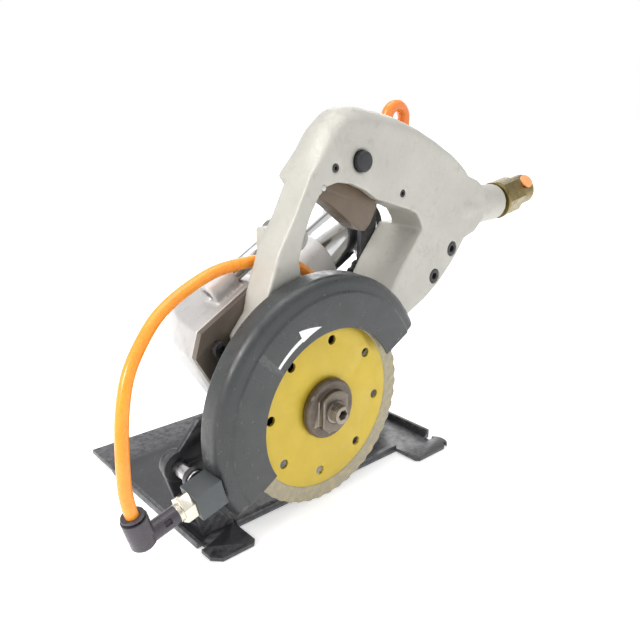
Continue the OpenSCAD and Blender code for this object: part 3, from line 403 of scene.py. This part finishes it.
def dressed(node, bevel=0.35 * MM, segments=3, angle=32):
    """A piece with the CAD node's shape, its edges rounded by bevel."""
    mesh = clean_copy(node)
    mesh.shade_smooth()
    mesh = with_modifiers(mesh, ("BEVEL", dict(width=bevel, segments=segments, limit_method="ANGLE",
                                               angle_limit=math.radians(angle), harden_normals=False,
                                               use_clamp_overlap=True, miter_outer="MITER_ARC")))
    shade(mesh, 30)
    return new_piece(node + "_body", mesh, SLOT_OF[node], body_of(node), node)


def cast_piece(node, voxel, smooths, extra=None):
    """A casting: the CAD node's shape with every edge softened, as it comes out of a mould."""
    mesh = with_modifiers(clean_copy(node), ("REMESH", dict(mode="VOXEL", voxel_size=voxel, use_smooth_shade=True)))
    count = len(mesh.vertices)
    points = np.zeros(count * 3)
    mesh.vertices.foreach_get("co", points)
    points = points.reshape(-1, 3)
    pairs = np.zeros(len(mesh.edges) * 2, int)
    mesh.edges.foreach_get("vertices", pairs)
    pairs = pairs.reshape(-1, 2)
    links = np.bincount(pairs.ravel(), minlength=count)[:, None]

    def pull(share):
        nonlocal points
        total = np.zeros_like(points)
        np.add.at(total, pairs[:, 0], points[pairs[:, 1]])
        np.add.at(total, pairs[:, 1], points[pairs[:, 0]])
        points = points + (total / links - points) * share

    for step in range(smooths):
        pull(0.5)
        pull(-0.52)
    if extra is not None:
        share, times = extra(points)
        for step in range(times):
            pull(0.5 * share[:, None])
    mesh.vertices.foreach_set("co", points.ravel())
    mesh.update()
    mesh.shade_smooth()
    return new_piece(node + "_body", mesh, SLOT_OF[node], body_of(node), node)


def lathe(profile, steps, frame_at, start=0.0, turn=2 * math.pi, name="lathe", wave=None):
    """Revolves a closed profile of (radius, along) points. frame_at is (centre, axis, side)."""
    centre, axis, side = (Vector(v) for v in frame_at)
    axis.normalize()
    side.normalize()
    other = axis.cross(side)
    whole = abs(turn - 2 * math.pi) < 1e-6
    rings = steps if whole else steps + 1
    bm = bmesh.new()
    rows = []
    for i in range(rings):
        a = start + turn * i / steps
        out = side * math.cos(a) + other * math.sin(a)
        row = []
        for j, (r, h) in enumerate(profile):
            if wave:
                r, h = wave(r, h, a)
            row.append(bm.verts.new(centre + axis * h + out * r))
        rows.append(row)
    size = len(profile)
    for i in range(steps):
        a, b = rows[i], rows[(i + 1) % rings]
        for j in range(size):
            k = (j + 1) % size
            bm.faces.new((a[j], b[j], b[k], a[k]))
    if not whole:
        bm.faces.new(rows[0])
        bm.faces.new(list(reversed(rows[-1])))
    bmesh.ops.remove_doubles(bm, verts=bm.verts, dist=1e-7)
    bmesh.ops.recalc_face_normals(bm, faces=bm.faces)
    mesh = bpy.data.meshes.new(name)
    bm.to_mesh(mesh)
    bm.free()
    return mesh


def rounded(points, radius, steps=5):
    """The closed outline with each corner rounded by up to radius."""
    out = []
    count = len(points)
    for i, p in enumerate(points):
        p = np.array(p, float)
        a, b = np.array(points[i - 1], float) - p, np.array(points[(i + 1) % count], float) - p
        la, lb = np.linalg.norm(a), np.linalg.norm(b)
        cut = min(radius, la * 0.45, lb * 0.45)
        start, end = p + a / la * cut, p + b / lb * cut
        for k in range(steps + 1):
            t = k / steps
            out.append(tuple((1 - t) ** 2 * start + 2 * t * (1 - t) * p + t * t * end))
    return out


# ---------------------------------------------------------------- hose
HOSE_D = 6 * MM
BLADE_Y = -55 * MM
HOSE_POINTS = [(-108.15, 0, 33.9), (-110.15, 0, 40.9), (-111, 0.8, 50), (-110, 2.8, 63), (-107, 7, 78),
               (-101, 12, 93), (-91, 18, 104), (-78, 24, 113.5), (-61.5, 29, 120.3), (-42.3, 32.5, 125.6),
               (-22, 33.5, 127), (-9, 33.5, 126.3), (1.3, 34, 124), (11.4, 34.5, 119), (20.6, 35, 112.2),
               (26.2, 35, 107), (29.3, 35, 103.25), (32.3, 35, 98.05)]


def smooth_line(points, steps=6):
    """A Catmull-Rom line through the points."""
    p = [np.array(q, float) for q in points]
    p = [2 * p[0] - p[1], *p, 2 * p[-1] - p[-2]]
    out = []
    for i in range(1, len(p) - 2):
        for k in range(steps):
            t = k / steps
            out.append(0.5 * (2 * p[i] + (p[i + 1] - p[i - 1]) * t
                              + (2 * p[i - 1] - 5 * p[i] + 4 * p[i + 1] - p[i + 2]) * t ** 2
                              + (3 * p[i] - p[i - 1] - 3 * p[i + 1] + p[i + 2]) * t ** 3))
    out.append(p[-2])
    return out


def make_hose():
    route = smooth_line([(x * MM, y * MM + BLADE_Y, z * MM) for x, y, z in HOSE_POINTS])
    curve = bpy.data.curves.new("water_hose_tube", "CURVE")
    curve.dimensions = "3D"
    curve.bevel_depth = HOSE_D / 2
    curve.bevel_resolution = 6
    curve.use_fill_caps = True
    spline = curve.splines.new("POLY")
    spline.points.add(len(route) - 1)
    for point, co in zip(spline.points, route):
        point.co = (*co, 1)
    spline.use_smooth = True
    hose = bpy.data.objects.new("water_hose_tube", curve)
    bpy.context.scene.collection.objects.link(hose)
    curve.materials.append(material("hose_orange"))
    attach(hose, "saw")
    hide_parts("water_hose")
    return hose


make_hose()

# ---------------------------------------------------------------- guard and blade
SPINDLE = Vector((0, BLADE_Y, 54 * MM))
SPINDLE_FRAME = (SPINDLE, (0, 1, 0), (1, 0, 0))


def guard_angle(degrees):
    """Lathe angle of a direction measured from +X towards +Z."""
    return -math.radians(degrees)


def make_guard():
    low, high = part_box("blade_guard")
    outer = (SPINDLE.x - low.x) if (SPINDLE.x - low.x) > 0.05 else 0.07
    front, back = low.y - BLADE_Y, high.y - BLADE_Y
    wall, hub_in, open_r = 1.6 * MM, 21 * MM, 43.5 * MM
    skin = [(open_r, front), (outer - 8.4 * MM, front), (outer - 7.6 * MM, front + 0.9 * MM),
            (outer - 3.4 * MM, front + 1.5 * MM), (outer - 1.1 * MM, front + 3 * MM), (outer, front + 5.6 * MM),
            (outer, back), (hub_in, back)]
    inner = [(hub_in, back - wall), (outer - wall, back - wall), (outer - wall, front + 6 * MM),
             (outer - 2.5 * MM, front + 4.4 * MM), (outer - 4.2 * MM, front + 3.1 * MM),
             (outer - 8.4 * MM, front + 2.4 * MM), (outer - 9 * MM, front + wall), (open_r, front + wall)]
    profile = rounded(skin + inner, 1.3 * MM, 4)
    mesh = lathe(profile, 150, SPINDLE_FRAME, guard_angle(212), math.radians(212 - 29.5), "blade_guard_shell")
    mesh = with_modifiers(mesh, ("BEVEL", dict(width=0.45 * MM, segments=3, limit_method="ANGLE",
                                               angle_limit=math.radians(50))))
    shade(mesh, 34)
    piece = new_piece("blade_guard_shell", mesh, "guard_black", "saw", "blade_guard")
    ring = rounded([(hub_in, back - 2.6 * MM), (28 * MM, back - 2.6 * MM), (28 * MM, back), (hub_in, back)], 0.4 * MM)
    ring_mesh = lathe(ring, 96, SPINDLE_FRAME, name="blade_guard_hub")
    shade(ring_mesh)
    new_piece("blade_guard_hub", ring_mesh, "guard_black", "saw")
    return piece


def make_arrow():
    """A plain painted arrow for the blade's direction of turn."""
    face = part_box("blade_guard")[0].y
    middle, half = 48.6 * MM, 0.75 * MM
    start, neck, tip = 138, 117, 102
    bm = bmesh.new()

    def spot(radius, angle, y):
        a = math.radians(angle)
        return bm.verts.new((radius * math.cos(a), y, SPINDLE.z + radius * math.sin(a)))

    def strip(widths, y):
        return [(spot(middle - lo, ang, y), spot(middle + hi, ang, y)) for ang, lo, hi in widths]

    shaft = [(start + (neck - start) * k / 10, half, half + 0.5 * MM * k / 10) for k in range(11)]
    head = [(neck + (tip - neck) * k / 6, 1.2 * MM * (1 - k / 6) + 0.02 * MM,
             5.2 * MM * (1 - k / 6) + 0.02 * MM) for k in range(7)]
    for widths in (shaft, head):
        top = strip(widths, face)
        for (a, b), (c, d) in zip(top, top[1:]):
            bm.faces.new((a, b, d, c))
    mesh = bpy.data.meshes.new("turn_arrow")
    bmesh.ops.recalc_face_normals(bm, faces=bm.faces)
    bm.to_mesh(mesh)
    bm.free()
    mesh = with_modifiers(mesh, ("SOLIDIFY", dict(thickness=0.24 * MM, offset=0)))
    new_piece("turn_arrow", mesh, "guard_black", "saw", look="arrow_white")


def make_rim():
    low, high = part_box("blade_rim")
    outer = (high.x - low.x) / 2
    half = (high.y - low.y) / 2
    inner = outer - 8.7 * MM
    count, slant = 46, 2.6

    def turbo(r, h, a):
        share = (r - inner) / (outer - inner)
        phase = count * a + slant * share * math.pi
        wave = max(-1.0, min(1.0, 2.2 * math.sin(phase)))
        dip = (0.42 * MM) * (1 - wave) / 2 * min(1, share * 4)
        return r - (0.25 * MM * (1 - wave) / 2 if share > 0.98 else 0), math.copysign(max(0, abs(h) - dip), h)

    radii = [inner + (outer - inner) * t for t in (0, 0.06, 0.2, 0.4, 0.6, 0.8, 0.94)]
    side = [(r, half if i else 0.8 * MM) for i, r in enumerate(radii)]
    profile = side + [(outer, half - 0.2 * MM), (outer, -half + 0.2 * MM)] + [(r, -h) for r, h in reversed(side)]
    mesh = lathe(profile, count * 12, SPINDLE_FRAME, name="blade_rim_turbo", wave=turbo)
    shade(mesh, 40)
    new_piece("blade_rim_turbo", mesh, "diamond_rim", "arbor", "blade_rim")


def make_spindle_thread():
    """Fine thread round the spindle's end, in front of the nut."""
    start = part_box("spindle")[0].y + 0.8 * MM
    pitch, turns, low, high = 1.25 * MM, 5, 4.35 * MM, 4.85 * MM
    steps = 48
    bm = bmesh.new()
    rows = []
    for i in range(steps * turns + 1):
        a = 2 * math.pi * i / steps
        ease = min(1, i / 20, (steps * turns - i) / 20)
        y = start + pitch * i / steps
        row = []
        for r, dy in ((low, -0.55), (high * ease + low * (1 - ease), -0.1), (high * ease + low * (1 - ease), 0.1),
                      (low, 0.55)):
            row.append(bm.verts.new((SPINDLE.x + r * math.cos(a), y + dy * pitch, SPINDLE.z + r * math.sin(a))))
        rows.append(row)
    for a, b in zip(rows, rows[1:]):
        for j in range(3):
            bm.faces.new((a[j], b[j], b[j + 1], a[j + 1]))
        bm.faces.new((a[3], b[3], b[0], a[0]))
    bm.faces.new(rows[0])
    bm.faces.new(list(reversed(rows[-1])))
    bmesh.ops.recalc_face_normals(bm, faces=bm.faces)
    mesh = bpy.data.meshes.new("spindle_thread")
    bm.to_mesh(mesh)
    bm.free()
    shade(mesh, 40)
    new_piece("spindle_thread", mesh, "dark_steel", "arbor")


make_guard()
make_arrow()
make_rim()
make_spindle_thread()


# ---------------------------------------------------------------- castings
def grip_crown(points):
    """Softens the crowned top of the grip far more than the rest of the handle."""
    x, y, z = points.T
    top = np.clip((z - 0.166) / 0.012, 0, 1) * np.clip((0.112 - x) / 0.02, 0, 1)
    return 0.12 + 0.88 * top, 30


cast_piece("handle_casting", 0.8 * MM, 8, grip_crown)
cast_piece("gear_head", 0.9 * MM, 12)

# ---------------------------------------------------------------- everything else keeps its CAD shape
FINE_EDGES = {"base_shoe": 0.5, "motor_housing": 0.8, "motor_barrel": 0.4, "exhaust_cap": 0.8, "trigger": 0.9,
              "head_cover": 0.5, "water_block": 0.7, "water_elbow": 0.8, "flange_nut": 0.6, "valve_lever": 0.5,
              "barrel_clamp": 0.8, "hinge_bracket": 0.5, "depth_bracket": 0.5, "inlet_coupling": 0.5,
              "rotor_pinion": 0.15, "countershaft_bevel": 0.15, "spindle_gear": 0.15, "countershaft_pinion": 0.15,
              "valve_spring": 0.2, "roll_pins": 0.2, "blade_core": 0.15, "link_arm": 0.5, "hinge_pin": 0.4}
DONE = {"water_hose", "blade_guard", "blade_rim", "handle_casting", "gear_head"}
for part in sorted(frame["nodes"]):
    if part not in DONE:
        dressed(part, FINE_EDGES.get(part, 0.3) * MM)


# ---------------------------------------------------------------- floor and light
def make_stage():
    bm = bmesh.new()
    bmesh.ops.create_grid(bm, x_segments=1, y_segments=1, size=6)
    mesh = bpy.data.meshes.new("floor")
    bm.to_mesh(mesh)
    bm.free()
    floor = bpy.data.objects.new("floor", mesh)
    floor.location.z = -0.0005
    bpy.context.scene.collection.objects.link(floor)
    s = Shader("floor_paint", (0.9, 0.9, 0.9), 0.6, Emission_Color=(1, 1, 1, 1), Emission_Strength=0.4)
    s.tint(s.noise(0.4, 3), (0.87, 0.87, 0.87), 0.5)
    mesh.materials.append(s.mat)


def area_light(name, place, target, size, power, color=(1, 1, 1)):
    data = bpy.data.lights.new(name, "AREA")
    data.shape, data.size, data.size_y = "RECTANGLE", size[0], size[1]
    data.energy, data.color = power, color
    light = bpy.data.objects.new(name, data)
    light.location = place
    light.rotation_euler = (Vector(target) - Vector(place)).to_track_quat("-Z", "Y").to_euler()
    bpy.context.scene.collection.objects.link(light)


def make_light():
    world = bpy.data.worlds.new("studio")
    world.use_nodes = True
    back = world.node_tree.nodes["Background"]
    back.inputs["Strength"].default_value = 1.0
    # A darker belt high round the room gives the plated parts something to reflect.
    tree = world.node_tree
    where = tree.nodes.new("ShaderNodeTexCoord")
    parts = tree.nodes.new("ShaderNodeSeparateXYZ")
    belt = tree.nodes.new("ShaderNodeValToRGB")
    tree.links.new(where.outputs["Generated"], parts.inputs["Vector"])
    tree.links.new(parts.outputs["Z"], belt.inputs["Fac"])
    tree.links.new(belt.outputs["Color"], back.inputs["Color"])
    stops = belt.color_ramp.elements
    stops[0].position, stops[0].color = 0.32, (1, 1, 1, 1)
    stops[1].position, stops[1].color = 0.42, (0.38, 0.38, 0.38, 1)
    for height, level in ((0.56, 0.38), (0.66, 1.0)):
        stops.new(height).color = (level, level, level, 1)
    bpy.context.scene.world = world
    middle = (0, -0.02, 0.09)
    area_light("key", (-1.1, 0.05, 0.95), middle, (0.6, 0.6), 13, (1, 0.975, 0.955))
    area_light("fill", (0.35, -1.1, 0.5), middle, (0.8, 0.8), 0.6)
    area_light("top", (0.1, 0.1, 1.2), middle, (0.9, 0.6), 4)
    area_light("back", (0.9, 0.8, 0.6), middle, (0.5, 0.7), 3)


make_stage()
make_light()
bpy.context.scene.view_settings.view_transform = "Standard"
